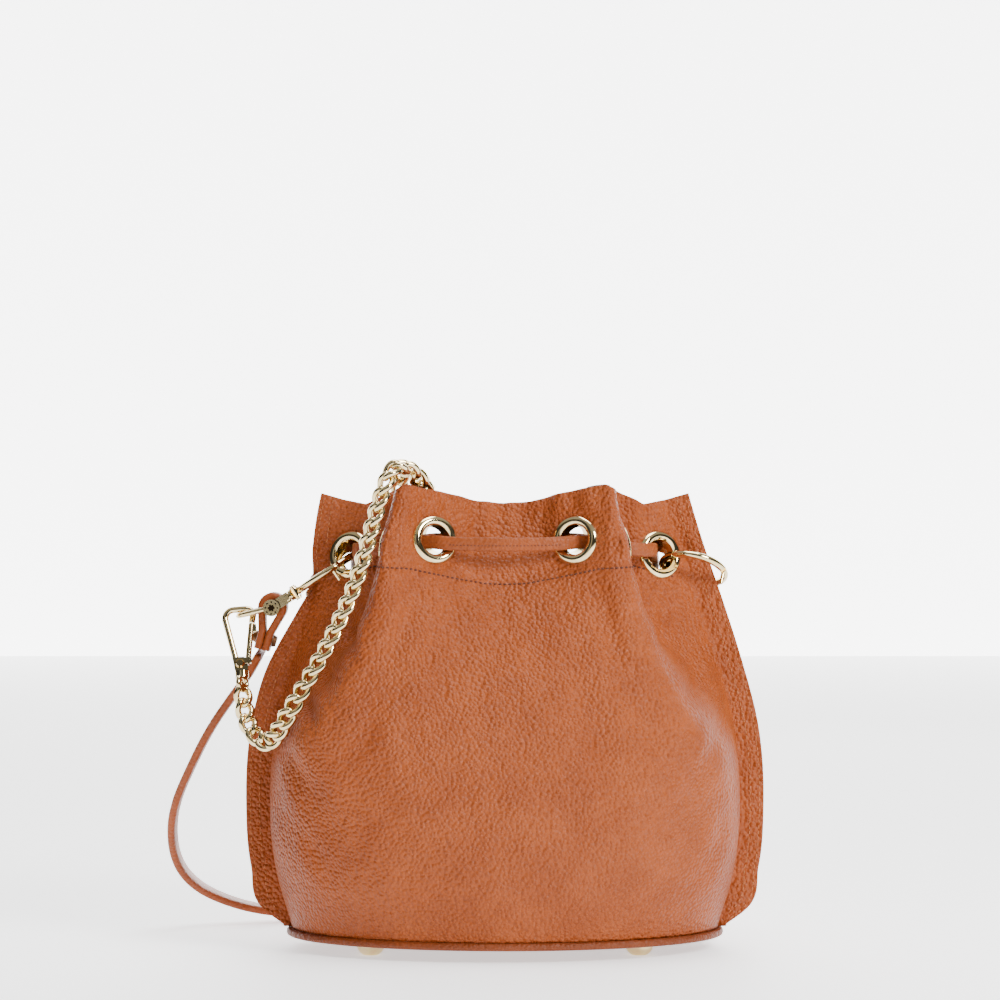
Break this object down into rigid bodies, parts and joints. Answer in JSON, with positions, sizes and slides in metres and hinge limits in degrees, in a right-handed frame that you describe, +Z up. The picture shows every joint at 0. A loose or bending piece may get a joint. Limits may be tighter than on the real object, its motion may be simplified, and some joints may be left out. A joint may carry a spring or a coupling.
{
  "type": "bucket bag",
  "caption": "Drawstring bucket bag of soft leather on an oval base, with eyelets, chain handle and clip-on shoulder strap.",
  "frame": {"origin": "centre of the oval base at floor level", "axes": "+Z up, -Y towards the front, X along the bag's width"},
  "size_m": [0.2495, 0.152, 0.1995],
  "materials": {
    "caramel_leather": "pebble-grained, soft sheen",
    "strap_leather": "grained face, painted edges",
    "lining_fabric": "plain woven",
    "stiffener_board": "plain",
    "gold_metal": "polished, pale gold plating",
    "dark_screw": "dark brown, satin"
  },
  "bodies": {
    "bag": {"front_panel": "caramel_leather", "front_facing": "caramel_leather", "front_lining": "lining_fabric", "front_eyelets": "gold_metal", "front_eyelet_washers": "gold_metal", "back_panel": "caramel_leather", "back_facing": "caramel_leather", "back_lining": "lining_fabric", "back_eyelets": "gold_metal", "back_eyelet_washers": "gold_metal", "base_panel": "caramel_leather", "base_welt": "caramel_leather", "drawstring": "caramel_leather", "base_board": "stiffener_board", "base_lining": "lining_fabric", "base_feet": "gold_metal", "foot_washers": "gold_metal", "drawstring_tips": "gold_metal", "left_hook_frame": "gold_metal", "left_hook_gate_pin": "gold_metal", "left_hook_swivel": "gold_metal", "left_hook_cross_pin": "gold_metal", "left_d_ring": "gold_metal", "left_strap_loop": "strap_leather", "left_strap_screw": "dark_screw", "right_hook_frame": "gold_metal", "right_hook_gate_pin": "gold_metal", "right_hook_swivel": "gold_metal", "right_hook_cross_pin": "gold_metal", "right_d_ring": "gold_metal", "right_strap_loop": "strap_leather", "right_strap_screw": "dark_screw", "strap_left": "strap_leather", "strap_hank": "strap_leather", "strap_right": "strap_leather", "front_clasp_swivel": "gold_metal", "rear_clasp_swivel": "gold_metal", "chain_links": "gold_metal"},
    "slider": {"drawstring_slider": "caramel_leather"},
    "left_gate": {"left_hook_gate": "gold_metal"},
    "right_gate": {"right_hook_gate": "gold_metal"},
    "front_clasp": {"front_clasp_frame": "gold_metal", "front_clasp_rivet": "gold_metal"},
    "front_clasp_gate_body": {"front_clasp_gate": "gold_metal"},
    "rear_clasp": {"rear_clasp_frame": "gold_metal", "rear_clasp_rivet": "gold_metal"},
    "rear_clasp_gate_body": {"rear_clasp_gate": "gold_metal"}
  },
  "joints": [
    {"name": "slider_slide", "type": "slide", "parent": "bag", "child": "slider", "axis": [0, 0.2747, -0.9615], "range_m": [0, 0.009]},
    {"name": "left_hook_gate_hinge", "type": "hinge", "parent": "bag", "child": "left_gate", "pos_m": [-0.08559, -0.0044, 0.14505], "axis": [-0.5459, 0, 0.8378], "range_deg": [0, 5], "stiffness_Nm_per_rad": 0.004},
    {"name": "right_hook_gate_hinge", "type": "hinge", "parent": "bag", "child": "right_gate", "pos_m": [0.08108, 0.01199, 0.14724], "axis": [-0.2183, -0.439, -0.8716], "range_deg": [0, 5], "stiffness_Nm_per_rad": 0.004},
    {"name": "front_clasp_swivel_turn", "type": "hinge", "parent": "bag", "child": "front_clasp", "pos_m": [-0.10705, -0.01093, 0.11323], "axis": [0.0697, -0.256, -0.9642], "range_deg": [-20, 20]},
    {"name": "front_clasp_gate_hinge", "type": "hinge", "parent": "front_clasp", "child": "front_clasp_gate_body", "pos_m": [-0.10433, -0.0099, 0.1173], "axis": [-0.0185, -0.9667, 0.2553], "range_deg": [0, 12], "stiffness_Nm_per_rad": 0.004},
    {"name": "rear_clasp_swivel_turn", "type": "hinge", "parent": "bag", "child": "rear_clasp", "pos_m": [0.06286, 0.04788, 0.11953], "axis": [-0.43, 0.6029, -0.672], "range_deg": [-20, 20]},
    {"name": "rear_clasp_gate_hinge", "type": "hinge", "parent": "rear_clasp", "child": "rear_clasp_gate_body", "pos_m": [0.06512, 0.04782, 0.12399], "axis": [0.8847, 0.1329, -0.4468], "range_deg": [0, 12], "stiffness_Nm_per_rad": 0.004}
  ]
}
